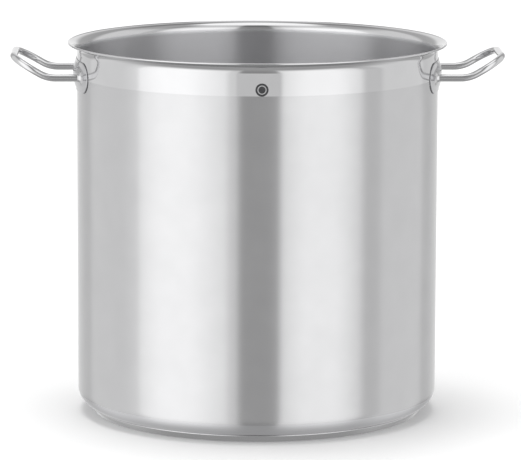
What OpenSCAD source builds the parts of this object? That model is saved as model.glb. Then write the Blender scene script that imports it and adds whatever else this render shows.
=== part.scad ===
// Restaurant stock pot, 50 litres, stainless steel with a sandwich base.
// The pot stands on z = 0 with its axis on the Z axis. The two loop handles
// lie on +X and -X, and the front of the pot faces -Y. Millimetres.

/* [Pot body] */
// Inner diameter of the straight wall
inner_d = 400; // [200:10:600]
// Sheet thickness of the pressed body
wall = 1.2; // [0.8:0.1:3]
// Height from the table to the top of the rim
total_h = 416; // [200:1:700]
// Outer radius of the rounded bottom corner
corner_r = 19.5; // [8:0.5:40]

/* [Pouring rim] */
// Radius of the underside of the outward flare
flare_r = 11; // [4:0.2:20]
// How far the flare turns outward, in degrees
flare_turn = 80; // [40:1:88]
// Radius of the rounded lip edge
lip_r = 1.1; // [0.6:0.1:3]

/* [Sandwich base] */
// Radius of the flat underside of the base
foot_r = 181.5; // [80:0.5:290]
// Radius at which the upturned edge of the base meets the pot
base_edge_r = 187.6; // [80:0.1:298]
// Thickness of the whole base under the pot bottom
base_h = 7.4; // [4:0.1:12]
// Sheet thickness of the steel cap under the aluminium
cap_sheet = 0.8; // [0.5:0.1:2]
// Rounding between the underside and the upturned edge
foot_round = 2; // [1:0.25:5]

/* [Handle rods] */
// Diameter of the round bar
rod_d = 8; // [5:0.5:14]
// Distance between the two legs of one handle, centre to centre
rod_span = 107; // [60:1:160]
// Height of the straight legs above the table
rod_z = 381; // [100:1:640]
// Distance from the pot axis to the point where the legs start to turn upward
knee_x = 223; // [206:1:300]
// Centre-line radius of the upward turn
knee_r = 36; // [8:1:40]
// Angle at which the loop rises
rise_angle = 30; // [0:1:60]
// Length of the straight stretch between the upward turn and the outer corner
slope_l = 4.5; // [1:0.5:60]
// Centre-line radius of the two outer corners
loop_r = 29; // [10:1:50]

/* [Handle plates] */
// Length of the plate along the wall
plate_l = 150; // [60:1:220]
// Height of the plate
plate_h = 34; // [16:1:60]
// Sheet thickness of the plate
plate_sheet = 1; // [0.8:0.1:3]
// Gap between the plate and the wall, bridged by the spot welds
plate_gap = 0.2; // [0.1:0.1:1]
// Length of the raised middle along the wall
dome_l = 139; // [40:1:200]
// Height of the raised middle
dome_h = 31; // [10:1:56]
// How far the raised middle stands out from the plate
dome_rise = 3.2; // [1:0.1:10]

/* [Welds] */
// Radius of the hollow fillet where a rod meets its plate
fillet_r = 4; // [2:0.5:10]
// Diameter of one spot weld
spot_d = 5; // [3:0.5:8]
// Distance of the spot welds from the middle of the plate, along the wall
spot_s = 60; // [20:1:100]
// Distance of the spot welds above and below the middle of the plate
spot_z = 12; // [4:0.5:26]

/* [Hidden] */
$fn = 96;
large_fn = 360;
inner_r = inner_d / 2;
outer_r = inner_r + wall;

// The flare's arc is centred outside the wall, and the lip touches total_h.
flare_x = outer_r + flare_r;
lip_arc_r = flare_r + wall / 2;
flare_z = total_h - lip_r - lip_arc_r * sin(flare_turn);

// The inside of the cap's upturned edge ends on the pot's rounded corner,
// and its side is tangent to the rounding under it.
corner_x = outer_r - corner_r;
corner_z = base_h + corner_r;
cap_edge = [base_edge_r, corner_z - sqrt(corner_r ^ 2 - (base_edge_r - corner_x) ^ 2)];
foot_centre = [foot_r, foot_round];
cap_side = cap_edge - foot_centre;
side_angle = atan2(cap_side.y, cap_side.x) - acos((foot_round - cap_sheet) / norm(cap_side));
foot_steps = 6;

// The plate's flange is a band of a tube. Its dome is a piece of a torus
// whose crest and ends follow from the dome's length, height and rise.
flange_r0 = outer_r + plate_gap;
flange_r1 = flange_r0 + plate_sheet;
plate_end_y = flange_r1 * sin(plate_l / 2 / flange_r1 * 180 / PI);
dome_end_angle = dome_l / 2 / flange_r1 * 180 / PI;
dome_end = flange_r1 * [cos(dome_end_angle), sin(dome_end_angle)];
crest_x = flange_r1 + dome_rise;
dome_plan_r = ((crest_x - dome_end.x) ^ 2 + dome_end.y ^ 2) / (2 * (crest_x - dome_end.x));
dome_tube_r = ((dome_h / 2) ^ 2 + dome_rise ^ 2) / (2 * dome_rise);
dome_x = crest_x - dome_plan_r;
dome_sweep = 64;

// A leg starts where its axis crosses the outside of the dome.
rod_r = rod_d / 2;
leg_y = rod_span / 2;
leg_x = dome_x + sqrt(dome_plan_r ^ 2 - leg_y ^ 2);
leg_root = 5;

// Bending slims the bar a little, so the straight lengths run a short way over each bend.
bend_slim = 0.02;
bend_lap = 0.4;

// The fillet's foot lies a little under the sloping dome, and its skirt runs on down to it.
fillet_sink = 1.6;
fillet_skirt = 4;
fillet_steps = 8;

// ---- helpers ----

// Puts a thing made for the right side, +X, on the right or on the left side.
module on_side(side) {
    rotate([0, 0, side == "right" ? 0 : 180])
        children();
}

// Draws a thing at the level of the handles, once for each leg of a loop.
module for_each_leg() {
    translate([0, 0, rod_z])
        for (turn = [0, 1])
            mirror([0, turn, 0])
                children();
}

// A flat ring sector between two radii and two angles, less than 170 degrees apart.
module ring_sector(r0, r1, a0, a1) {
    reach = 2 * r1;
    mid = (a0 + a1) / 2;
    intersection() {
        difference() {
            circle(r = r1);
            circle(r = r0);
        }
        polygon([[0, 0],
                 reach * [cos(a0), sin(a0)],
                 2 * reach * [cos(mid), sin(mid)],
                 reach * [cos(a1), sin(a1)]]);
    }
}

// ---- pot body ----

module shell_profile() {
    // flat bottom
    translate([0, base_h])
        square([corner_x, wall]);
    // rounded corner
    translate([corner_x, corner_z])
        ring_sector(corner_r - wall, corner_r, -90, 0);
    // straight wall
    translate([inner_r, corner_z])
        square([wall, flare_z - corner_z]);
}

module rim_profile() {
    // outward flare
    translate([flare_x, flare_z])
        ring_sector(flare_r, flare_r + wall, 180 - flare_turn, 180);
    // rounded lip
    translate([flare_x, flare_z] + lip_arc_r * [-cos(flare_turn), sin(flare_turn)])
        circle(r = lip_r);
}

module pot_shell() {
    color([0.80, 0.80, 0.81])
        rotate_extrude()
            shell_profile();
}

// The rim is pressed from the same sheet as the wall. It is a part of its own so that
// the space under the flare stays open in the collision shape.
module pot_rim() {
    color([0.83, 0.83, 0.84])
        rotate_extrude()
            rim_profile();
}

// ---- sandwich base ----

// Half outline of the cap from the axis to its upturned edge, drawn in by inset.
function cap_outline(inset) = concat(
    [[0, inset]],
    [for (i = [0:foot_steps])
        let (a = -90 + i / foot_steps * (side_angle + 90))
        foot_centre + (foot_round - inset) * [cos(a), sin(a)]],
    [cap_edge + (cap_sheet - inset) * [cos(side_angle), sin(side_angle)]]);

function reversed(list) = [for (i = [len(list) - 1:-1:0]) list[i]];

module base_cap() {
    color([0.77, 0.77, 0.78])
        rotate_extrude()
            polygon(concat(cap_outline(0), reversed(cap_outline(cap_sheet))));
}

module base_core() {
    color([0.72, 0.73, 0.75])
        rotate_extrude()
            intersection() {
                polygon(concat(cap_outline(cap_sheet), [[0, cap_edge.y]]));
                square([base_edge_r, base_h]);
            }
}

// ---- handle plates ----

module plate_outline() {
    straight_y = plate_end_y - plate_h / 2;
    square([2 * straight_y, plate_h], center = true);
    for (end = [-1, 1])
        translate([end * straight_y, 0])
            circle(d = plate_h);
}

// The raised middle as a piece of a full torus, drawn in by inset.
module dome_body(inset) {
    translate([dome_x, 0, rod_z])
        rotate([0, 0, -dome_sweep / 2])
            rotate_extrude(angle = dome_sweep, $fn = large_fn)
                translate([dome_plan_r - dome_tube_r, 0])
                    circle(r = dome_tube_r - inset, $fn = large_fn);
}

module handle_plate(side) {
    color([0.83, 0.83, 0.84])
        on_side(side)
            difference() {
                intersection() {
                    union() {
                        translate([0, 0, rod_z - plate_h])
                            cylinder(r = flange_r1, h = 2 * plate_h);
                        dome_body(0);
                    }
                    translate([flange_r1 / 2, 0, rod_z])
                        rotate([90, 0, 90])
                            linear_extrude(flange_r1)
                                plate_outline();
                }
                translate([0, 0, rod_z - 2 * plate_h])
                    cylinder(r = flange_r0, h = 4 * plate_h);
                dome_body(plate_sheet);
            }
}

// ---- handle rods ----

// A straight length of bar along +X. It runs into the bend at its outer end.
module straight_bar(length) {
    rotate([0, 90, 0])
        cylinder(r = rod_r, h = length + bend_lap);
}

// A bend in the bar, turning left about the origin from the direction start.
module bent_bar(bend_r, start, turn) {
    rotate([0, 0, start - 90])
        rotate_extrude(angle = turn)
            translate([bend_r, 0])
                circle(r = rod_r - bend_slim);
}

// The leg of one side, from inside its plate to the end of the upward turn.
module leg() {
    translate([leg_x - leg_root, leg_y, 0])
        straight_bar(knee_x - leg_x + leg_root);
    translate([knee_x, leg_y, knee_r])
        rotate([90, 0, 0])
            bent_bar(knee_r, 0, rise_angle);
}

// The sloping U between the two upward turns, lying flat from x = 0 outward.
module loop_end() {
    for (turn = [0, 1])
        mirror([0, turn, 0]) {
            translate([-bend_lap, leg_y, 0])
                straight_bar(slope_l + bend_lap);
            translate([slope_l, leg_y - loop_r, 0])
                bent_bar(loop_r, 90, 90);
        }
    translate([slope_l + loop_r, loop_r - leg_y - bend_lap, 0])
        rotate([0, 0, 90])
            straight_bar(2 * (leg_y - loop_r) + bend_lap);
}

module handle_rod(side) {
    color([0.85, 0.85, 0.86])
        on_side(side)
            difference() {
                union() {
                    for_each_leg()
                        leg();
                    translate([knee_x + knee_r * sin(rise_angle), 0,
                               rod_z + knee_r * (1 - cos(rise_angle))])
                        rotate([0, -rise_angle, 0])
                            loop_end();
                }
                dome_body(0);
            }
}

// ---- welds ----

// Half section of the hollow fillet round a leg, with its foot at y = 0.
function fillet_outline() = concat(
    [[rod_r, -fillet_skirt], [rod_r + fillet_r, -fillet_skirt]],
    [for (i = [0:fillet_steps])
        let (a = -90 - 90 * i / fillet_steps)
        [rod_r + fillet_r, fillet_r] + fillet_r * [cos(a), sin(a)]]);

module rod_welds(side) {
    color([0.82, 0.82, 0.83])
        on_side(side)
            difference() {
                for_each_leg()
                    translate([leg_x - fillet_sink, leg_y, 0])
                        rotate([0, 90, 0])
                            rotate_extrude()
                                polygon(fillet_outline());
                dome_body(0);
            }
}

module spot_welds(side) {
    spot_angle = spot_s / flange_r1 * 180 / PI;
    color([0.70, 0.70, 0.71])
        on_side(side)
            intersection() {
                difference() {
                    translate([0, 0, rod_z - plate_h])
                        cylinder(r = flange_r0, h = 2 * plate_h);
                    translate([0, 0, rod_z - 2 * plate_h])
                        cylinder(r = outer_r, h = 4 * plate_h);
                }
                union()
                    for (turn = [-spot_angle, spot_angle], level = [-spot_z, spot_z])
                        rotate([0, 0, turn])
                            translate([inner_r - plate_h, 0, rod_z + level])
                                rotate([0, 90, 0])
                                    cylinder(d = spot_d, h = 2 * plate_h);
            }
}

// ---- nodes ----

pot_shell();
pot_rim();
base_core();
base_cap();
handle_plate("left");  // left_handle_plate
handle_plate("right");  // right_handle_plate
handle_rod("left");  // left_handle_rod
handle_rod("right");  // right_handle_rod
rod_welds("left");  // left_rod_welds
rod_welds("right");  // right_rod_welds
spot_welds("left");  // left_spot_welds
spot_welds("right");  // right_spot_welds
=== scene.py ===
"""Studio picture of a stainless steel stock pot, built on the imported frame.

The pot stands on z = 0 with its axis on Z, its front faces -Y and its two
handles lie on +X and -X. Lengths are in metres unless a name ends in _mm.
"""

import logging
import math
from dataclasses import dataclass
from enum import Enum
from typing import Any, Callable

import bmesh
import bpy
from mathutils import Matrix, Vector

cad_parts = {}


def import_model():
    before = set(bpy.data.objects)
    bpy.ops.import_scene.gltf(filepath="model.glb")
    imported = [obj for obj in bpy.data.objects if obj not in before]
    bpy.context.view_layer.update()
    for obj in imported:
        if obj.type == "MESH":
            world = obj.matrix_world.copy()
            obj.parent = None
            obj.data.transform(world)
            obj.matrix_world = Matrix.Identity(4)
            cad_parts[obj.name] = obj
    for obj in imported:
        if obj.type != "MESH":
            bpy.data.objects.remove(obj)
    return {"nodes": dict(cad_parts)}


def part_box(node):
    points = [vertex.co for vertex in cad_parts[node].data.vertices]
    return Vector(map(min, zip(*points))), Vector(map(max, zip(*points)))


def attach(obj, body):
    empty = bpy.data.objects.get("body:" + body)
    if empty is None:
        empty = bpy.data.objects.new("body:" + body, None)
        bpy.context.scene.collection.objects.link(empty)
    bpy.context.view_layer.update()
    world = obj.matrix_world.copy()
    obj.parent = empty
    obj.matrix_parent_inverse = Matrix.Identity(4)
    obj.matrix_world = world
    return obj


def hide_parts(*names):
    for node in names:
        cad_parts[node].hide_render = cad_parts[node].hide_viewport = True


LOG = logging.getLogger("stock_pot")
MM = 0.001
BODY = "root"

Point2 = tuple[float, float]
Point3 = tuple[float, float, float]


# ---------------------------------------------------------------- helpers


def linear_rgba(hex_code: str) -> tuple[float, float, float, float]:
    """Turn an sRGB hex colour into the linear colour that shaders take.

    Args:
        hex_code: Six hex digits, with or without a leading hash.

    Returns:
        Red, green, blue and an alpha of 1, all linear.
    """
    digits = hex_code.lstrip("#")
    channels = [int(digits[i : i + 2], 16) / 255 for i in (0, 2, 4)]
    linear = [c / 12.92 if c <= 0.04045 else ((c + 0.055) / 1.055) ** 2.4 for c in channels]
    return (linear[0], linear[1], linear[2], 1.0)


def put(
    tree: bpy.types.NodeTree,
    kind: str,
    settings: dict[str, Any] | None = None,
    sockets: dict[str | int, Any] | None = None,
) -> bpy.types.Node:
    """Add one node with its settings, its input values and its incoming links.

    Args:
        tree: The node tree that gets the node.
        kind: The node's type name.
        settings: Properties of the node itself, by name.
        sockets: Inputs by name or number. An output socket is linked, anything
            else is set as the input's value.

    Returns:
        The new node.
    """
    node = tree.nodes.new(kind)
    for name, value in (settings or {}).items():
        setattr(node, name, value)
    for key, value in (sockets or {}).items():
        if isinstance(value, bpy.types.NodeSocket):
            tree.links.new(value, node.inputs[key])
        else:
            node.inputs[key].default_value = value
    return node


def arc(centre: Point2, radius: float, start: float, end: float, steps: int) -> list[Point2]:
    """Points of a flat arc, both ends included.

    Args:
        centre: Centre of the arc.
        radius: Radius of the arc.
        start: First angle in degrees.
        end: Last angle in degrees.
        steps: Number of chords.

    Returns:
        The arc's points from start to end.
    """
    angles = [math.radians(start + (end - start) * i / steps) for i in range(steps + 1)]
    return [(centre[0] + radius * math.cos(a), centre[1] + radius * math.sin(a)) for a in angles]


def line_object(name: str, points: list[Point3]) -> bpy.types.Object:
    """Make a mesh of one open chain of edges, for a modifier to work on.

    Args:
        name: Name of the object.
        points: The chain's points in order.

    Returns:
        The linked object.
    """
    mesh = bpy.data.meshes.new(name)
    mesh.from_pydata(points, [(i, i + 1) for i in range(len(points) - 1)], [])
    thing = bpy.data.objects.new(name, mesh)
    bpy.context.scene.collection.objects.link(thing)
    return thing


def mesh_object(
    name: str, points: list[Point3], faces: list[tuple[int, ...]], material: bpy.types.Material
) -> bpy.types.Object:
    """Make a smooth-shaded closed piece from points and faces.

    Args:
        name: Name of the piece.
        points: Its corner points, in place.
        faces: Its faces as point numbers.
        material: The material of the whole piece.

    Returns:
        The linked object, with doubles merged and faces pointing outwards.
    """
    mesh = bpy.data.meshes.new(name)
    mesh.from_pydata(points, [], faces)
    point_outwards(mesh)
    mesh.materials.append(material)
    thing = bpy.data.objects.new(name, mesh)
    bpy.context.scene.collection.objects.link(thing)
    return thing


def point_outwards(mesh: bpy.types.Mesh) -> None:
    """Merge a closed mesh's doubles, turn its faces outwards and shade it smooth."""
    work = bmesh.new()
    work.from_mesh(mesh)
    bmesh.ops.remove_doubles(work, verts=work.verts, dist=1e-6)
    bmesh.ops.recalc_face_normals(work, faces=work.faces)
    if work.calc_volume(signed=True) < 0:
        bmesh.ops.reverse_faces(work, faces=work.faces)
    for face in work.faces:
        face.smooth = True
    work.to_mesh(mesh)
    work.free()


def apply_tree(
    thing: bpy.types.Object, tree: bpy.types.NodeTree, values: dict[str, Any]
) -> bpy.types.Object:
    """Run a Geometry Nodes tree on an object and keep only its result.

    Args:
        thing: The object that carries the tree's input.
        tree: The Geometry Nodes tree.
        values: Value of each of the tree's inputs, by name.

    Returns:
        The same object, now a plain mesh with no modifier.
    """
    modifier = thing.modifiers.new("build", "NODES")
    modifier.node_group = tree
    for item in tree.interface.items_tree:
        if item.item_type == "SOCKET" and item.in_out == "INPUT" and item.name in values:
            modifier[item.identifier] = values[item.name]
    graph = bpy.context.evaluated_depsgraph_get()
    result = bpy.data.meshes.new_from_object(thing.evaluated_get(graph))
    thing.modifiers.remove(modifier)
    thing.data = result
    point_outwards(result)
    return thing


def new_tree(name: str, inputs: dict[str, str]) -> tuple[bpy.types.NodeTree, bpy.types.Node]:
    """Start a Geometry Nodes tree with a geometry input and named inputs.

    Args:
        name: Name of the tree.
        inputs: Socket type of each further input, by the input's name.

    Returns:
        The tree and its group input node.
    """
    tree = bpy.data.node_groups.new(name, "GeometryNodeTree")
    tree.interface.new_socket("Geometry", in_out="INPUT", socket_type="NodeSocketGeometry")
    for label, kind in inputs.items():
        tree.interface.new_socket(label, in_out="INPUT", socket_type=kind)
    tree.interface.new_socket("Geometry", in_out="OUTPUT", socket_type="NodeSocketGeometry")
    return tree, tree.nodes.new("NodeGroupInput")


def bisect(error: Callable[[float], float], low: float, high: float) -> float:
    """Find where a rising function crosses zero.

    Args:
        error: The function, below zero at low and above it at high.
        low: Lower end of the search.
        high: Upper end of the search.

    Returns:
        The crossing, to about a millionth of the span.
    """
    for _ in range(24):
        middle = (low + high) / 2
        low, high = (middle, high) if error(middle) < 0 else (low, middle)
    return (low + high) / 2


def lofted(
    rings: list[list[Point3]], front: Point3, rear: Point3
) -> tuple[list[Point3], list[tuple[int, ...]]]:
    """Join radial chains of points into a closed skin between two middle points.

    Args:
        rings: Chains of equal length, one for each direction round the middle.
        front: Middle point that the chains start from.
        rear: Middle point that the chains end at.

    Returns:
        The points and the faces.
    """
    count, size = len(rings), len(rings[0])
    points = [point for ring in rings for point in ring] + [front, rear]
    faces: list[tuple[int, ...]] = []
    for i in range(count):
        here, there = i * size, (i + 1) % count * size
        faces.append((count * size, here, there))
        faces += [(here + j, here + j + 1, there + j + 1, there + j) for j in range(size - 1)]
        faces.append((count * size + 1, there + size - 1, here + size - 1))
    return points, faces


def closed_skin(first: int, around: int, across: int) -> list[tuple[int, ...]]:
    """Faces of a closed skin made of equal closed rings that follow one another.

    Args:
        first: Number of the skin's first point.
        around: Number of rings.
        across: Number of points in each ring.

    Returns:
        The faces as point numbers.
    """
    return [
        (
            first + i * across + j,
            first + (i + 1) % around * across + j,
            first + (i + 1) % around * across + (j + 1) % across,
            first + i * across + (j + 1) % across,
        )
        for i in range(around)
        for j in range(across)
    ]


def shown(piece: bpy.types.Object, slot: str, *nodes: str) -> bpy.types.Object:
    """Let a finished piece stand for the frame's nodes and ride on the body.

    Args:
        piece: The finished piece.
        slot: Not used.
        nodes: The nodes that it replaces.

    Returns:
        The same piece.
    """
    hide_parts(*nodes)
    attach(piece, BODY)
    return piece


def dressed(node: str, material: bpy.types.Material) -> bpy.types.Object:
    """Give one of the frame's own nodes a finish.

    Args:
        node: Name of the node.
        material: Its new material.

    Returns:
        The node's object.
    """
    thing = bpy.data.objects[node]
    for place in thing.material_slots:
        place.material = material
    return thing


class Side(Enum):
    """The side of the pot that a handle is on."""

    RIGHT = "right"
    LEFT = "left"

    def turn(self, point: Point3) -> Point3:
        """Turn a point made for the right side to this side."""
        sign = 1 if self is Side.RIGHT else -1
        return (sign * point[0], sign * point[1], point[2])


# ---------------------------------------------------------------- finishes


class Lay(Enum):
    """Which way the polishing lines run on a surface."""

    AROUND = "around the pot's axis"
    NONE = "no visible direction"


@dataclass(frozen=True)
class SteelFinish:
    """One finish of 18/10 stainless steel sheet or bar.

    Fields: name of the material, sRGB colour of the reflection, mean roughness
    and how far it varies, the lay of the lines with its anisotropy, the real
    spacing of the lines in millimetres, the height of the lines as a bump
    distance in millimetres, and the size and height of the sheet's slow waves.
    """

    name: str
    tint: str
    roughness: float
    variation: float
    lay: Lay = Lay.NONE
    anisotropy: float = 0.0
    line_mm: float = 0.9
    line_height_mm: float = 0.004
    wave_mm: float = 60.0
    wave_height_mm: float = 0.02

    def material(self) -> bpy.types.Material:
        """Return the material, building its nodes the first time."""
        if self.name in bpy.data.materials:
            return bpy.data.materials[self.name]
        steel = bpy.data.materials.new(self.name)
        steel.use_nodes = True
        tree = steel.node_tree
        tree.nodes.clear()
        place = put(tree, "ShaderNodeTexCoord").outputs["Object"]
        lines = self._lines(tree, place)
        clouds = put(
            tree,
            "ShaderNodeTexNoise",
            sockets={"Vector": place, "Scale": 1 / (35 * MM), "Detail": 3.0, "Roughness": 0.55},
        )
        mixed = put(
            tree,
            "ShaderNodeMath",
            {"operation": "MULTIPLY_ADD"},
            {0: lines, 1: 0.6, 2: clouds.outputs["Fac"]},
        )
        rough = put(
            tree,
            "ShaderNodeMapRange",
            sockets={
                "Value": mixed.outputs[0],
                "From Min": 0.5,
                "From Max": 1.1,
                "To Min": self.roughness - self.variation,
                "To Max": self.roughness + self.variation,
            },
        )
        colour = put(
            tree,
            "ShaderNodeMix",
            {"data_type": "RGBA"},
            {
                "Factor": clouds.outputs["Fac"],
                "A": linear_rgba(self.tint),
                "B": tuple(0.93 * c for c in linear_rgba(self.tint)[:3]) + (1.0,),
            },
        )
        shader = put(
            tree,
            "ShaderNodeBsdfPrincipled",
            sockets={
                "Base Color": colour.outputs["Result"],
                "Metallic": 1.0,
                "Roughness": rough.outputs["Result"],
                "Anisotropic": self.anisotropy,
                "Anisotropic Rotation": 0.25,
                "Normal": self._relief(tree, place, lines),
            },
        )
        if self.lay is Lay.AROUND:
            around = put(tree, "ShaderNodeTangent", {"direction_type": "RADIAL", "axis": "Z"})
            tree.links.new(around.outputs["Tangent"], shader.inputs["Tangent"])
        put(tree, "ShaderNodeOutputMaterial", sockets={"Surface": shader.outputs["BSDF"]})
        return steel

    def _lines(self, tree: bpy.types.NodeTree, place: bpy.types.NodeSocket) -> bpy.types.NodeSocket:
        """Add the pattern of fine polishing lines.

        Lines round the axis change with height on a wall and with radius on a
        flat face, so a turned face shows rings.

        Args:
            tree: The material's tree.
            place: Object coordinates.

        Returns:
            The pattern's strength, from 0 to 1.
        """
        across = 1 / (self.line_mm * MM)
        along = across / 60 if self.lay is Lay.AROUND else across / 6
        stretched = put(
            tree,
            "ShaderNodeMapping",
            sockets={"Vector": place, "Scale": (along, along, across)},
        )
        noise = put(
            tree,
            "ShaderNodeTexNoise",
            {"noise_dimensions": "4D"},
            {"Vector": stretched.outputs["Vector"], "Scale": 1.0, "Detail": 2.0},
        )
        if self.lay is Lay.AROUND:
            flat = put(
                tree, "ShaderNodeVectorMath", {"operation": "MULTIPLY"}, {0: place, 1: (1, 1, 0)}
            )
            radius = put(
                tree, "ShaderNodeVectorMath", {"operation": "LENGTH"}, {0: flat.outputs["Vector"]}
            )
            rings = put(
                tree,
                "ShaderNodeMath",
                {"operation": "MULTIPLY"},
                {0: radius.outputs["Value"], 1: across},
            )
            tree.links.new(rings.outputs[0], noise.inputs["W"])
        return noise.outputs["Fac"]

    def _relief(
        self, tree: bpy.types.NodeTree, place: bpy.types.NodeSocket, lines: bpy.types.NodeSocket
    ) -> bpy.types.NodeSocket:
        """Add the bump of the polishing lines on top of the sheet's slow waves.

        Args:
            tree: The material's tree.
            place: Object coordinates.
            lines: Strength of the polishing lines.

        Returns:
            The bent normal.
        """
        waves = put(
            tree,
            "ShaderNodeTexNoise",
            sockets={"Vector": place, "Scale": 1 / (self.wave_mm * MM), "Detail": 1.0},
        )
        slow = put(
            tree,
            "ShaderNodeBump",
            sockets={
                "Strength": 1.0,
                "Distance": self.wave_height_mm * MM,
                "Height": waves.outputs["Fac"],
            },
        )
        fine = put(
            tree,
            "ShaderNodeBump",
            sockets={
                "Strength": 1.0,
                "Distance": self.line_height_mm * MM,
                "Height": lines,
                "Normal": slow.outputs["Normal"],
            },
        )
        return fine.outputs["Normal"]


# Cold-rolled 18/10 sheet, mirror polished on a buffing wheel: the band under the
# rim, the outside of the flare and the lip show clean reflections of the studio.
MIRROR_SHEET = SteelFinish("stainless_mirror_polished_sheet", "#CBCBCC", 0.07, 0.02)

# The wall, ground round and round with a fine belt: reflections smear up and down
# and keep their upright edges. The real lines are about 0.1 mm apart, and they are
# drawn 0.9 mm apart so that they show.
SATIN_WALL = SteelFinish(
    "stainless_satin_ground_wall", "#C6C6C7", 0.22, 0.01, Lay.AROUND, 1.0, line_height_mm=0.001
)

# The inside gets the same belt, a little coarser.
# Its tint is lighter than the wall's on the same sheet: painted light that brightens the inside.
SATIN_INSIDE_WITH_PAINTED_LIGHT = SteelFinish(
    "stainless_satin_ground_inside_painted_light", "#D2D2D4", 0.30, 0.02, Lay.AROUND, 1.0, line_height_mm=0.0015
)

# The bottom of the inside is turned with an abrasive pad, so its lines are rings.
TURNED_FLOOR = SteelFinish(
    "stainless_turned_floor", "#BCBCBE", 0.30, 0.03, Lay.AROUND, 0.6, line_height_mm=0.001
)

# The pressed steel capsule round the base, turned after pressing: soft and even.
TURNED_CAP = SteelFinish(
    "stainless_turned_base_cap", "#C2C2C3", 0.24, 0.02, Lay.AROUND, 0.6, line_height_mm=0.001
)

# The underside of the capsule, turned flat with a coarser tool: clear rings.
TURNED_UNDERSIDE = SteelFinish(
    "stainless_turned_underside", "#BDBDBF", 0.28, 0.06, Lay.AROUND, 0.6, line_height_mm=0.004
)

# Round bar, drawn and then tumbled bright: nearly a mirror, with short scuffs.
BRIGHT_BAR = SteelFinish(
    "stainless_bright_drawn_bar", "#CCCCCD", 0.10, 0.03, line_mm=1.4, wave_height_mm=0.0
)

# The pressed handle plate, buffed by hand after pressing.
BUFFED_PLATE = SteelFinish("stainless_buffed_pressed_plate", "#BEBEC0", 0.12, 0.03, wave_mm=18.0)

# TIG-welded fillet, ground and buffed: a little softer than the bar.
GROUND_WELD = SteelFinish("stainless_ground_weld", "#C8C8C9", 0.16, 0.05, line_mm=0.7)

# Bare spot weld, left as the electrodes make it: dull grey with a heat tint.
SPOT_WELD = SteelFinish("stainless_bare_spot_weld", "#A9A5A0", 0.45, 0.08, line_mm=0.5)

# Rolled aluminium disc inside the sandwich base.
ROLLED_ALUMINIUM = SteelFinish("aluminium_rolled_disc", "#D6D8DA", 0.38, 0.06, line_mm=0.6)


@dataclass(frozen=True)
class EtchedMark:
    """Electro-etched mark on the band: matt, dark grey, faintly uneven."""

    name: str = "stainless_etched_dark_mark"
    dark: str = "#48484A"
    pale: str = "#58585A"

    def material(self) -> bpy.types.Material:
        """Build the material's nodes and return it."""
        etched = bpy.data.materials.new(self.name)
        etched.use_nodes = True
        tree = etched.node_tree
        tree.nodes.clear()
        place = put(tree, "ShaderNodeTexCoord").outputs["Object"]
        grain = put(
            tree,
            "ShaderNodeTexNoise",
            sockets={"Vector": place, "Scale": 1 / (0.8 * MM), "Detail": 2.0},
        )
        colour = put(
            tree,
            "ShaderNodeMix",
            {"data_type": "RGBA"},
            {
                "Factor": grain.outputs["Fac"],
                "A": linear_rgba(self.dark),
                "B": linear_rgba(self.pale),
            },
        )
        bump = put(
            tree,
            "ShaderNodeBump",
            sockets={"Strength": 1.0, "Distance": 0.01 * MM, "Height": grain.outputs["Fac"]},
        )
        shader = put(
            tree,
            "ShaderNodeBsdfPrincipled",
            sockets={
                "Base Color": colour.outputs["Result"],
                "Metallic": 1.0,
                "Roughness": 0.5,
                "Normal": bump.outputs["Normal"],
            },
        )
        put(tree, "ShaderNodeOutputMaterial", sockets={"Surface": shader.outputs["BSDF"]})
        return etched


# ---------------------------------------------------------------- turned pieces


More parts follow.
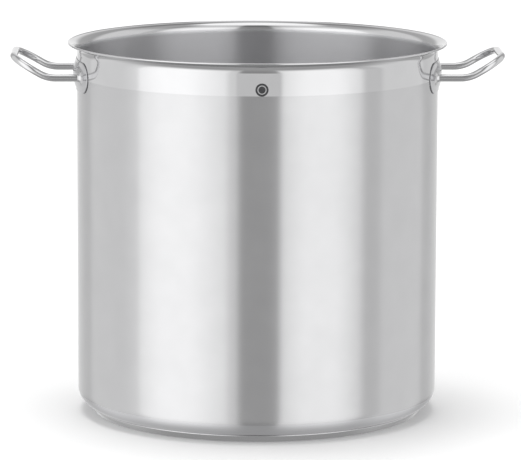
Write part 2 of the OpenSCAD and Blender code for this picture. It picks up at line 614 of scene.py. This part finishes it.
def turning_tree() -> bpy.types.NodeTree:
    """Geometry Nodes that turn a half outline round Z and finish it by zones.

    The low finish covers everything at first. The skin finish takes what lies
    outside the skin radius and above the low height, the inner finish what lies
    inside it, and the bright finish the skin above the band height and all
    above the top height.

    Returns:
        The tree.
    """
    tree, given = new_tree(
        "turned_sheet",
        {
            "Segments": "NodeSocketInt",
            "Guide Radius": "NodeSocketFloat",
            "Skin Radius": "NodeSocketFloat",
            "Low Height": "NodeSocketFloat",
            "Band Height": "NodeSocketFloat",
            "Top Height": "NodeSocketFloat",
            "Low Finish": "NodeSocketMaterial",
            "Inner Finish": "NodeSocketMaterial",
            "Skin Finish": "NodeSocketMaterial",
            "Bright Finish": "NodeSocketMaterial",
        },
    )
    value = given.outputs
    outline = put(tree, "GeometryNodeMeshToCurve", sockets={"Mesh": value["Geometry"]})
    ring = put(
        tree,
        "GeometryNodeCurvePrimitiveCircle",
        sockets={"Resolution": value["Segments"], "Radius": value["Guide Radius"]},
    )
    sheet = put(
        tree,
        "GeometryNodeCurveToMesh",
        sockets={"Curve": ring.outputs["Curve"], "Profile Curve": outline.outputs["Curve"]},
    )
    closed = put(
        tree,
        "GeometryNodeMergeByDistance",
        sockets={"Geometry": sheet.outputs["Mesh"], "Distance": 1e-6},
    )
    place = put(tree, "GeometryNodeInputPosition").outputs["Position"]
    axes = put(tree, "ShaderNodeSeparateXYZ", sockets={"Vector": place}).outputs
    flat = put(tree, "ShaderNodeCombineXYZ", sockets={"X": axes["X"], "Y": axes["Y"]})
    radius = put(
        tree, "ShaderNodeVectorMath", {"operation": "LENGTH"}, {0: flat.outputs["Vector"]}
    ).outputs["Value"]
    steps: dict[str, bpy.types.NodeSocket] = {}
    for label, tested, limit in (
        ("skin", radius, "Skin Radius"),
        ("raised", axes["Z"], "Low Height"),
        ("band", axes["Z"], "Band Height"),
        ("top", axes["Z"], "Top Height"),
    ):
        steps[label] = put(
            tree, "ShaderNodeMath", {"operation": "GREATER_THAN"}, {0: tested, 1: value[limit]}
        ).outputs[0]
    for label, kind, first, second in (
        ("outside", "MULTIPLY", "skin", "raised"),
        ("inside", "SUBTRACT", "raised", "skin"),
        ("bright skin", "MULTIPLY", "skin", "band"),
        ("bright", "MAXIMUM", "bright skin", "top"),
    ):
        steps[label] = put(
            tree, "ShaderNodeMath", {"operation": kind}, {0: steps[first], 1: steps[second]}
        ).outputs[0]
    shape = put(
        tree, "GeometryNodeRealizeInstances", sockets={"Geometry": closed.outputs["Geometry"]}
    )
    for label, zone in (
        ("Low Finish", None),
        ("Inner Finish", "inside"),
        ("Skin Finish", "outside"),
        ("Bright Finish", "bright"),
    ):
        sockets = {"Geometry": shape.outputs["Geometry"], "Material": value[label]}
        if zone:
            sockets["Selection"] = steps[zone]
        shape = put(tree, "GeometryNodeSetMaterial", sockets=sockets)
    put(tree, "NodeGroupOutput", sockets={"Geometry": shape.outputs["Geometry"]})
    return tree


def turned_piece(
    name: str, outline: list[Point2], guide_r: float, values: dict[str, Any]
) -> bpy.types.Object:
    """Turn a half outline round Z.

    Args:
        name: Name of the piece.
        outline: Radius and height of each point, starting and ending on the axis.
        guide_r: Radius of the ring that carries the outline.
        values: Zone limits and finishes of the turning tree, by name.

    Returns:
        The finished piece as a plain mesh.
    """
    chain = [(radius - guide_r, -height, 0.0) for radius, height in outline]
    piece = line_object(name, chain)
    tree = bpy.data.node_groups.get("turned_sheet") or turning_tree()
    return apply_tree(piece, tree, {"Segments": 360, "Guide Radius": guide_r} | values)


@dataclass
class PotBody:
    """The pressed body: floor, rounded corner, wall, outward flare and lip.

    The outer sizes come from the frame. The others are the sheet thickness, the
    radii of the corner, the flare and the lip, the turn of the flare in degrees,
    and how far the mirror band reaches down from the rim.
    """

    rim_r: float
    bottom_z: float
    rim_z: float
    wall: float = 1.2 * MM
    corner_r: float = 19.5 * MM
    flare_r: float = 11.0 * MM
    flare_turn: float = 80.0
    lip_r: float = 1.1 * MM
    band_h: float = 36.3 * MM

    @classmethod
    def from_frame(cls) -> "PotBody":
        """Read the outer sizes from the frame's own body nodes."""
        return cls(
            rim_r=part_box("pot_rim")[1].x,
            bottom_z=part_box("pot_shell")[0].z,
            rim_z=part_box("pot_rim")[1].z,
        )

    @property
    def lip_arc_r(self) -> float:
        """Radius of the flare at the middle of the sheet."""
        return self.flare_r + self.wall / 2

    @property
    def flare_centre(self) -> Point2:
        """Centre of the flare's arc, as radius and height."""
        turn = math.radians(self.flare_turn)
        return (
            self.rim_r - self.lip_r + self.lip_arc_r * math.cos(turn),
            self.rim_z - self.lip_r - self.lip_arc_r * math.sin(turn),
        )

    @property
    def outer_r(self) -> float:
        """Outer radius of the straight wall."""
        return self.flare_centre[0] - self.flare_r

    @property
    def band_z(self) -> float:
        """Height of the border between the mirror band and the satin wall."""
        return self.rim_z - self.band_h

    def outline(self) -> list[Point2]:
        """Half section of the sheet, from the inner floor over the rim to the bottom."""
        inner_r = self.outer_r - self.wall
        corner = (self.outer_r - self.corner_r, self.bottom_z + self.corner_r)
        flare = self.flare_centre
        turn = self.flare_turn
        lip = (
            flare[0] - self.lip_arc_r * math.cos(math.radians(turn)),
            flare[1] + self.lip_arc_r * math.sin(math.radians(turn)),
        )
        floor_z = self.bottom_z + self.wall
        levels = (0.003, 0.05, 0.15, 0.25, 0.33)
        middle = [corner[1] + level for level in levels]
        middle += [self.band_z, flare[1] - 2 * MM]
        floor_rs = (0.0, 0.02, 0.06, 0.12, corner[0] - 3 * MM)
        points: list[Point2] = [(r, floor_z) for r in floor_rs]
        points += arc(corner, self.corner_r - self.wall, -90, 0, 14)
        points += [(inner_r, z) for z in middle]
        points += arc(flare, self.flare_r + self.wall, 180, 185 - turn, 18)
        points += arc(lip, self.lip_r, 228 - turn, -turn - 48, 14)
        points += arc(flare, self.flare_r, 185.5 - turn, 180, 18)
        points += [(self.outer_r, z) for z in reversed(middle)]
        points += arc(corner, self.corner_r, 0, -90, 18)
        points += [(r, self.bottom_z) for r in reversed(floor_rs)]
        return points

    def build(self) -> bpy.types.Object:
        """Turn the body and finish it by zones."""
        values = {
            "Skin Radius": self.outer_r - self.wall / 2,
            "Low Height": self.bottom_z + self.wall * 1.6,
            "Band Height": self.band_z,
            "Top Height": self.rim_z - 1.8 * MM,
            "Low Finish": TURNED_FLOOR.material(),
            "Inner Finish": SATIN_INSIDE_WITH_PAINTED_LIGHT.material(),
            "Skin Finish": SATIN_WALL.material(),
            "Bright Finish": MIRROR_SHEET.material(),
        }
        body = turned_piece("pot_body", self.outline(), self.outer_r, values)
        return shown(body, "pot_steel", "pot_shell", "pot_rim")


@dataclass
class SandwichBase:
    """The pressed steel cap that holds the aluminium disc under the pot."""

    edge_r: float = 187.6 * MM
    foot_r: float = 181.5 * MM
    foot_round: float = 2.0 * MM
    sheet: float = 0.8 * MM
    lip_r: float = 1.0 * MM

    def outline(self, body: PotBody) -> list[Point2]:
        """Half section of the cap, from the middle of its underside over its edge and back.

        Args:
            body: The pot body, on whose rounded corner the cap's edge ends.

        Returns:
            Radius and height of each point.
        """
        corner = (body.outer_r - body.corner_r, body.bottom_z + body.corner_r)
        reach = math.sqrt(body.corner_r**2 - (self.edge_r - corner[0]) ** 2)
        edge = (self.edge_r, corner[1] - reach)
        foot = (self.foot_r, self.foot_round)
        side = (edge[0] - foot[0], edge[1] - foot[1])
        lean = math.degrees(
            math.atan2(side[1], side[0])
            - math.acos((self.foot_round - self.sheet) / math.hypot(*side))
        )
        tip = (
            edge[0] + self.sheet * math.cos(math.radians(lean)),
            edge[1] + self.sheet * math.sin(math.radians(lean)),
        )
        points: list[Point2] = [(r, 0.0) for r in (0.0, 0.02, 0.06, 0.12, 0.179)]
        points += arc(foot, self.foot_round, -90, lean, 10)
        bead = (tip[0] - self.lip_r, tip[1] - 0.2 * MM)
        points += arc(bead, self.lip_r, lean, 105, 10)
        points += [(edge[0] - 0.4 * MM, edge[1] - 0.3 * MM)]
        points += arc(foot, self.foot_round - self.sheet, lean, -90, 6)
        points += [(r, self.sheet) for r in (0.12, 0.06, 0.02, 0.0)]
        return points

    def build(self, body: PotBody) -> list[bpy.types.Object]:
        """Turn the cap and dress the aluminium disc inside it.

        Args:
            body: The pot body that the base sits under.

        Returns:
            The cap and the disc.
        """
        values = {
            "Skin Radius": self.foot_r - 0.5 * MM,
            "Low Height": 0.5 * MM,
            "Band Height": 1.0,
            "Top Height": 1.0,
            "Low Finish": TURNED_UNDERSIDE.material(),
            "Inner Finish": TURNED_UNDERSIDE.material(),
            "Skin Finish": TURNED_CAP.material(),
            "Bright Finish": TURNED_CAP.material(),
        }
        cap = turned_piece("base_cap_turned", self.outline(body), self.foot_r, values)
        disc = dressed("base_core", ROLLED_ALUMINIUM.material())
        return [shown(cap, "base_steel", "base_cap"), disc]


# ---------------------------------------------------------------- handles


@dataclass
class HandlePlate:
    """The pressed plate that carries one loop: a curved flange with a long low dome."""

    side: Side
    wall_r: float
    level: float = 381.0 * MM
    length: float = 150.0 * MM
    height: float = 34.0 * MM
    gap: float = 0.2 * MM
    sheet: float = 1.0 * MM
    dome_l: float = 139.0 * MM
    dome_h: float = 31.0 * MM
    rise: float = 3.2 * MM
    crease: float = 0.25 * MM
    edge_round: float = 0.35 * MM
    rays: int = 200

    @property
    def flange_r(self) -> float:
        """Radius of the flange's outer face."""
        return self.wall_r + self.gap + self.sheet

    @property
    def end_y(self) -> float:
        """Half of the plate's width, seen from its side."""
        return self.flange_r * math.sin(self.length / 2 / self.flange_r)

    @property
    def dome_plan(self) -> tuple[float, float]:
        """Plan radius of the dome's crest and the distance of its centre from the axis."""
        turn = self.dome_l / 2 / self.flange_r
        end_x, end_y = self.flange_r * math.cos(turn), self.flange_r * math.sin(turn)
        crest = self.flange_r + self.rise
        plan_r = ((crest - end_x) ** 2 + end_y**2) / (2 * (crest - end_x))
        return plan_r, crest - plan_r

    def dome_lift(self, y: float, z: float) -> float:
        """How far the dome stands out over the flange, below zero outside it.

        Args:
            y: Distance along the plate from its middle.
            z: Height over the plate's middle.
        """
        tube_r = ((self.dome_h / 2) ** 2 + self.rise**2) / (2 * self.rise)
        plan_r, centre = self.dome_plan
        around = plan_r - tube_r + math.sqrt(tube_r**2 - z**2)
        return centre + math.sqrt(around**2 - y**2) - math.sqrt(self.flange_r**2 - y**2)

    def face_x(self, y: float, z: float) -> float:
        """Distance of the plate's outer face from the pot's middle plane.

        Args:
            y: Distance along the plate from its middle.
            z: Height over the plate's middle.
        """
        lift = self.dome_lift(y, z)
        rounded = (lift + math.sqrt(lift**2 + self.crease**2)) / 2
        return math.sqrt(self.flange_r**2 - y**2) + rounded

    def edge_scale(self, along: Point2, inset: float) -> float:
        """Scale of a direction at which it meets the plate's outline.

        Args:
            along: Direction from the plate's middle.
            inset: How far inside the outline to stop.
        """
        straight = self.end_y - self.height / 2
        return bisect(
            lambda k: math.hypot(max(abs(k * along[0]) - straight, 0.0), k * along[1])
            - (self.height / 2 - inset),
            0.2,
            2.0,
        )

    def build(self) -> bpy.types.Object:
        """Model the plate as rings from its middle over its edge to its back."""
        turn = self.dome_l / 2 / self.flange_r
        dome_y, dome_z = self.flange_r * math.sin(turn), self.dome_h / 2
        rings: list[list[Point3]] = []
        inner = (0.08, 0.2, 0.32, 0.44, 0.56, 0.68, 0.78, 0.86, 0.92, 0.96, 0.985)
        outer = (0.0, 0.1, 0.22, 0.4, 0.62, 0.85)
        bends = [math.radians(a) for a in (0, 22.5, 45, 67.5, 90)]
        for index in range(self.rays):
            angle = 2 * math.pi * index / self.rays
            along = (dome_y * math.cos(angle), dome_z * math.sin(angle))
            crease = bisect(lambda k: -self.dome_lift(k * along[0], k * along[1]), 0.5, 1.06)
            flat_end = self.edge_scale(along, self.edge_round)
            stations = [(crease * f, 0.0) for f in inner]
            stations += [(crease + (flat_end - crease) * f, 0.0) for f in outer]
            for bend in bends:
                inset = self.edge_round * (1 - math.sin(bend))
                stations.append(
                    (self.edge_scale(along, inset), self.edge_round * (1 - math.cos(bend)))
                )
            back = [(scale, self.sheet) for scale, _ in reversed(stations)]
            ring = []
            for scale, depth in stations + back:
                y, z = scale * along[0], scale * along[1]
                ring.append(self.side.turn((self.face_x(y, z) - depth, y, self.level + z)))
            rings.append(ring)
        front = self.side.turn((self.face_x(0, 0), 0.0, self.level))
        rear = self.side.turn((self.face_x(0, 0) - self.sheet, 0.0, self.level))
        points, faces = lofted(rings, front, rear)
        plate = mesh_object(f"{self.side.value}_plate", points, faces, BUFFED_PLATE.material())
        return shown(plate, "plate_steel", f"{self.side.value}_handle_plate")


@dataclass
class HandleLoop:
    """One handle bent from round bar, with the welds that join it to its plate."""

    side: Side
    plate: HandlePlate
    bar_r: float = 4.0 * MM
    leg_y: float = 53.5 * MM
    knee_x: float = 223.0 * MM
    knee_r: float = 36.0 * MM
    rise: float = 30.0
    slope_l: float = 4.5 * MM
    corner_r: float = 29.0 * MM
    fillet_r: float = 4.0 * MM
    sink: float = 0.5 * MM
    root_l: float = 12.0 * MM
    lead: float = 1.0 * MM
    weld_lap: float = 0.3 * MM
    weld_sink: float = 0.4 * MM
    weld_rays: int = 64

    def half_path(self) -> list[Point3]:
        """Centre line of one half, from inside the plate to the middle of the crossbar."""
        root_x = self.plate.face_x(self.leg_y, 0) - self.sink
        start_x = root_x + self.root_l
        bend = [
            (self.knee_x + x, self.plate.level + self.knee_r + z)
            for x, z in arc((0.0, 0.0), self.knee_r, -90, -90 + self.rise, 10)
        ]
        path = [(root_x, self.leg_y, self.plate.level), (start_x, self.leg_y, self.plate.level)]
        path += [(self.knee_x - self.lead, self.leg_y, self.plate.level)]
        path += [(x, self.leg_y, z) for x, z in bend]
        knee_end = bend[-1]
        rise = math.radians(self.rise)
        flat = [(0.7 * MM, self.leg_y), (self.slope_l - 0.7 * MM, self.leg_y)]
        flat += arc((self.slope_l, self.leg_y - self.corner_r), self.corner_r, 90, 0, 30)
        flat += [(self.slope_l + self.corner_r, self.leg_y - self.corner_r - self.lead)]
        flat += [(self.slope_l + self.corner_r, 0.0)]
        for out, y in flat:
            path.append((knee_end[0] + out * math.cos(rise), y, knee_end[1] + out * math.sin(rise)))
        return path

    def sweep_tree(self) -> bpy.types.NodeTree:
        """Geometry Nodes that run a round bar along a centre line.

        Returns:
            The tree.
        """
        tree, given = new_tree(
            "round_bar",
            {
                "Bar Radius": "NodeSocketFloat",
                "Sides": "NodeSocketInt",
                "Finish": "NodeSocketMaterial",
            },
        )
        value = given.outputs
        centre = put(tree, "GeometryNodeMeshToCurve", sockets={"Mesh": value["Geometry"]})
        section = put(
            tree,
            "GeometryNodeCurvePrimitiveCircle",
            sockets={"Resolution": value["Sides"], "Radius": value["Bar Radius"]},
        )
        bar = put(
            tree,
            "GeometryNodeCurveToMesh",
            sockets={
                "Curve": centre.outputs["Curve"],
                "Profile Curve": section.outputs["Curve"],
                "Fill Caps": True,
            },
        )
        whole = put(
            tree, "GeometryNodeRealizeInstances", sockets={"Geometry": bar.outputs["Mesh"]}
        )
        finished = put(
            tree,
            "GeometryNodeSetMaterial",
            sockets={"Geometry": whole.outputs["Geometry"], "Material": value["Finish"]},
        )
        put(tree, "NodeGroupOutput", sockets={"Geometry": finished.outputs["Geometry"]})
        return tree

    def build_bar(self) -> bpy.types.Object:
        """Sweep the bar along its centre line."""
        half = self.half_path()
        other = [(x, -y, z) for x, y, z in reversed(half[:-1])]
        path = [self.side.turn(point) for point in half + other]
        bar = line_object(f"{self.side.value}_loop", path)
        tree = bpy.data.node_groups.get("round_bar") or self.sweep_tree()
        values = {"Bar Radius": self.bar_r, "Sides": 48, "Finish": BRIGHT_BAR.material()}
        apply_tree(bar, tree, values)
        return shown(bar, "rod_steel", f"{self.side.value}_handle_rod")

    def build_welds(self) -> bpy.types.Object:
        """Model both hollow fillets, each following the dome that it stands on."""
        points: list[Point3] = []
        faces: list[tuple[int, ...]] = []
        swells = [math.radians(90 * i / 10) for i in range(11)]
        for leg in (-1, 1):
            rings: list[list[Point3]] = []
            for index in range(self.weld_rays):
                around = 2 * math.pi * index / self.weld_rays
                section = [
                    (self.bar_r + self.fillet_r * (1 - math.sin(a)), self.fillet_r * (1 - math.cos(a)))
                    for a in swells
                ]
                inner_r = self.bar_r - self.weld_lap
                section += [
                    (inner_r, self.fillet_r),
                    (inner_r, -self.weld_sink),
                    (self.bar_r + self.fillet_r, -self.weld_sink),
                ]
                ring = []
                for reach, stand in section:
                    y = leg * self.leg_y + reach * math.cos(around)
                    z = reach * math.sin(around)
                    x = self.plate.face_x(y, z) + stand
                    ring.append(self.side.turn((x, y, self.plate.level + z)))
                rings.append(ring)
            faces += closed_skin(len(points), len(rings), len(rings[0]))
            points += [point for ring in rings for point in ring]
        welds = mesh_object(f"{self.side.value}_fillets", points, faces, GROUND_WELD.material())
        return shown(welds, "weld_steel", f"{self.side.value}_rod_welds")

    def build(self) -> list[bpy.types.Object]:
        """Build the bar and the fillets, and dress the spot welds behind the plate."""
        spots = dressed(f"{self.side.value}_spot_welds", SPOT_WELD.material())
        return [self.build_bar(), self.build_welds(), spots]


# ---------------------------------------------------------------- mark


@dataclass
class FrontMark:
    """A plain round mark etched in the band: a disc inside a ring."""

    wall_r: float
    level: float = 386.6 * MM
    disc_r: float = 3.9 * MM
    ring_in: float = 4.8 * MM
    ring_out: float = 7.0 * MM
    depth: float = 0.02 * MM
    rays: int = 72

    def build(self) -> bpy.types.Object:
        """Lay the disc and the ring on the wall as thin closed skins."""
        points: list[Point3] = []
        faces: list[tuple[int, ...]] = []
        for low, high in ((0.0, self.disc_r), (self.ring_in, self.ring_out)):
            reaches = [low + (high - low) * i / 4 for i in range(5)]
            skin = [(r, self.depth) for r in reaches] + [(r, -self.depth) for r in reversed(reaches)]
            faces += closed_skin(len(points), self.rays, len(skin))
            for index in range(self.rays):
                around = 2 * math.pi * index / self.rays
                for reach, stand in skin:
                    turn = reach * math.cos(around) / self.wall_r
                    far = self.wall_r + stand
                    height = self.level + reach * math.sin(around)
                    points.append((far * math.sin(turn), -far * math.cos(turn), height))
        mark = mesh_object("front_mark", points, faces, EtchedMark().material())
        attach(mark, BODY)
        return mark


# ---------------------------------------------------------------- studio


@dataclass(frozen=True)
class Screen:
    """An upright screen of the light tent, with soft edges.

    Fields: the azimuth of its middle from the front, half its width and the
    width of its soft edge, all in degrees, and the light that it adds. A grey
    flag takes light away, so its light is below zero.
    """

    azimuth: float
    half_width: float
    edge: float
    light: float


@dataclass
class Studio:
    """Camera, floor and the soft light all round.

    The light is a white tent with a wide soft box on each side of the camera, a
    darker gap between them where the camera stands, grey flags at the side and
    the back, a low white board all round, a bright panel overhead and one wide
    lamp for the shadow. Lifts and widths are in degrees. A pair of lifts tells
    where a part of the tent starts to show and where it shows fully.
    """

    distance: float = 4.12
    height: float = 0.889
    azimuth: float = 1.4
    pitch: float = 9.46
    roll: float = 0.17
    lens_mm: float = 257.0
    shift_x: float = 0.0068
    tent: float = 1.0
    overhead: float = 1.6
    underfoot: float = 0.5
    dim: float = 0.6
    dim_lifts: Point2 = (40.0, 55.0)
    overhead_lifts: Point2 = (66.0, 74.0)
    underfoot_lifts: Point2 = (-30.0, -60.0)
    board: float = 0.85
    board_lift: float = -10.0
    board_edges: Point2 = (6.0, 4.0)
    lamp: float = 1.2
    lamp_spread: float = 30.0
    lamp_from: Point3 = (-0.06, 0.17, 1.0)
    backdrop: float = 1.05
    floor_half: float = 30.0
    floor_drop: float = 0.2 * MM
    left_box: Screen = Screen(-51.0, 31.0, 5.0, 0.25)
    left_glow: Screen = Screen(-55.0, 25.0, 40.0, 0.45)
    right_box: Screen = Screen(41.0, 27.0, 6.0, 0.1)
    right_glow: Screen = Screen(40.0, 22.0, 30.0, 0.45)
    camera_gap: Screen = Screen(0.0, 13.0, 5.0, -0.6)
    side_flag: Screen = Screen(77.0, 7.0, 8.0, -0.2)
    back_flags: tuple[Screen, Screen] = (
        Screen(-150.0, 14.0, 12.0, -0.4),
        Screen(148.0, 16.0, 14.0, -0.45),
    )

    def build_camera(self) -> None:
        """Place the camera and make it the scene's own."""
        pitch, roll = math.radians(self.pitch), math.radians(self.roll)
        ahead = Vector((0, math.cos(pitch), -math.sin(pitch)))
        right = Vector((1, 0, 0))
        up = right.cross(ahead)
        across = math.cos(roll) * right + math.sin(roll) * up
        upward = math.cos(roll) * up - math.sin(roll) * right
        pose = Matrix((across, upward, -ahead)).transposed().to_4x4()
        pose.translation = Vector((0, -self.distance, self.height))
        data = bpy.data.cameras.new("studio_camera")
        data.sensor_width = 36
        data.lens = self.lens_mm
        data.shift_x = self.shift_x
        data.clip_end = 100
        camera = bpy.data.objects.new("studio_camera", data)
        camera.matrix_world = Matrix.Rotation(-math.radians(self.azimuth), 4, "Z") @ pose
        bpy.context.scene.collection.objects.link(camera)
        bpy.context.scene.camera = camera

    def build_floor(self) -> None:
        """Lay the pale floor, which only the camera and the soft light see."""
        half = self.floor_half
        mesh = bpy.data.meshes.new("floor")
        drop = -self.floor_drop
        corners = [(-half, -half, drop), (half, -half, drop), (half, half, drop), (-half, half, drop)]
        mesh.from_pydata(corners, [], [(0, 1, 2, 3)])
        floor = bpy.data.objects.new("floor", mesh)
        bpy.context.scene.collection.objects.link(floor)
        paint = bpy.data.materials.new("matt_white_board")
        paint.use_nodes = True
        shader = paint.node_tree.nodes["Principled BSDF"]
        shader.inputs["Base Color"].default_value = linear_rgba("#EFEFEF")
        shader.inputs["Roughness"].default_value = 0.9
        shader.inputs["Specular IOR Level"].default_value = 0.0
        mesh.materials.append(paint)
        floor.visible_glossy = False

    def screens(self) -> list[Screen]:
        """List every screen and flag that stands round the pot."""
        boxes = [self.left_box, self.left_glow, self.right_box, self.right_glow]
        return boxes + [self.camera_gap, self.side_flag, *self.back_flags]

    def build_light(self) -> None:
        """Paint the tent with its panels and its gap as one soft light all round."""
        scene = bpy.context.scene
        scene.view_settings.view_transform = "Standard"
        world = bpy.data.worlds.new("tent")
        scene.world = world
        world.use_nodes = True
        tree = world.node_tree
        tree.nodes.clear()
        ray = put(tree, "ShaderNodeTexCoord").outputs["Generated"]
        axes = put(tree, "ShaderNodeSeparateXYZ", sockets={"Vector": ray}).outputs
        known: dict[str, Any] = {"x": axes["X"], "y": axes["Y"], "z": axes["Z"]}
        for label, operation, first, second in (
            ("front", "MULTIPLY", "y", -1.0),
            ("turn", "ARCTAN2", "x", "front"),
            ("lift", "ARCSINE", "z", 0.0),
            ("from board", "SUBTRACT", "lift", math.radians(self.board_lift)),
            ("off board", "ABSOLUTE", "from board", 0.0),
        ):
            known[label] = put(
                tree,
                "ShaderNodeMath",
                {"operation": operation},
                {0: known.get(first, first), 1: known.get(second, second)},
            ).outputs[0]
        light: Any = self.tent
        for screen in self.screens():
            aside = put(
                tree,
                "ShaderNodeMath",
                {"operation": "SUBTRACT"},
                {0: known["turn"], 1: math.radians(screen.azimuth)},
            )
            away = put(tree, "ShaderNodeMath", {"operation": "ABSOLUTE"}, {0: aside.outputs[0]})
            share = put(
                tree,
                "ShaderNodeMapRange",
                {"interpolation_type": "SMOOTHSTEP"},
                {
                    "Value": away.outputs[0],
                    "From Min": math.radians(screen.half_width + screen.edge / 2),
                    "From Max": math.radians(screen.half_width - screen.edge / 2),
                    "To Min": 0.0,
                    "To Max": screen.light,
                },
            )
            light = put(
                tree, "ShaderNodeMath", {"operation": "ADD"}, {0: light, 1: share.outputs["Result"]}
            ).outputs[0]
        boarded = put(
            tree, "ShaderNodeMath", {"operation": "MAXIMUM"}, {0: light, 1: self.board}
        ).outputs[0]
        dimmed = put(
            tree, "ShaderNodeMath", {"operation": "MULTIPLY"}, {0: light, 1: self.dim}
        ).outputs[0]
        for angle, (start, end), level in (
            ("lift", self.dim_lifts, dimmed),
            ("off board", self.board_edges, boarded),
            ("lift", self.underfoot_lifts, self.underfoot),
            ("lift", self.overhead_lifts, self.overhead),
        ):
            mask = put(
                tree,
                "ShaderNodeMapRange",
                {"interpolation_type": "SMOOTHSTEP"},
                {
                    "Value": known[angle],
                    "From Min": math.radians(start),
                    "From Max": math.radians(end),
                },
            )
            light = put(
                tree,
                "ShaderNodeMix",
                {"data_type": "FLOAT"},
                {"Factor": mask.outputs["Result"], 2: light, 3: level},
            ).outputs[0]
        white = (1.0, 1.0, 1.0, 1.0)
        tent = put(
            tree,
            "ShaderNodeBackground",
            sockets={"Color": white, "Strength": light},
        )
        plain = put(tree, "ShaderNodeBackground", sockets={"Color": white, "Strength": self.backdrop})
        seen = put(tree, "ShaderNodeLightPath").outputs["Is Camera Ray"]
        mixed = put(
            tree,
            "ShaderNodeMixShader",
            sockets={0: seen, 1: tent.outputs["Background"], 2: plain.outputs["Background"]},
        )
        put(tree, "ShaderNodeOutputWorld", sockets={"Surface": mixed.outputs["Shader"]})

    def build_sun(self) -> None:
        """Hang a wide soft lamp high at the back, for the shadow in front of the pot."""
        data = bpy.data.lights.new("high_lamp", "SUN")
        data.energy = self.lamp
        data.angle = math.radians(self.lamp_spread)
        lamp = bpy.data.objects.new("high_lamp", data)
        lamp.rotation_euler = Vector(self.lamp_from).to_track_quat("Z", "Y").to_euler()
        lamp.visible_glossy = False
        bpy.context.scene.collection.objects.link(lamp)

    def build(self) -> None:
        """Set up the camera, the light and the floor."""
        self.build_camera()
        self.build_sun()
        self.build_light()
        self.build_floor()


# ---------------------------------------------------------------- main


def report(pieces: list[bpy.types.Object]) -> None:
    """Log the name, the face count and the materials of each piece."""
    for piece in pieces:
        finishes = ", ".join(m.name for m in piece.data.materials if m)
        LOG.info("%s: %d faces, %s", piece.name, len(piece.data.polygons), finishes)


def main(frame: dict[str, Any]) -> None:
    """Build the studio and every piece of the pot, in order.

    Args:
        frame: Not used.
    """
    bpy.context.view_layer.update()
    Studio().build()
    body = PotBody.from_frame()
    report([body.build()])
    report(SandwichBase().build(body))
    for side in Side:
        plate = HandlePlate(side, body.outer_r)
        report([plate.build()])
        report(HandleLoop(side, plate).build())
    report([FrontMark(body.outer_r).build()])


if __name__ == "__main__":
    logging.basicConfig(level=logging.INFO, format="%(name)s: %(message)s")
    main(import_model())
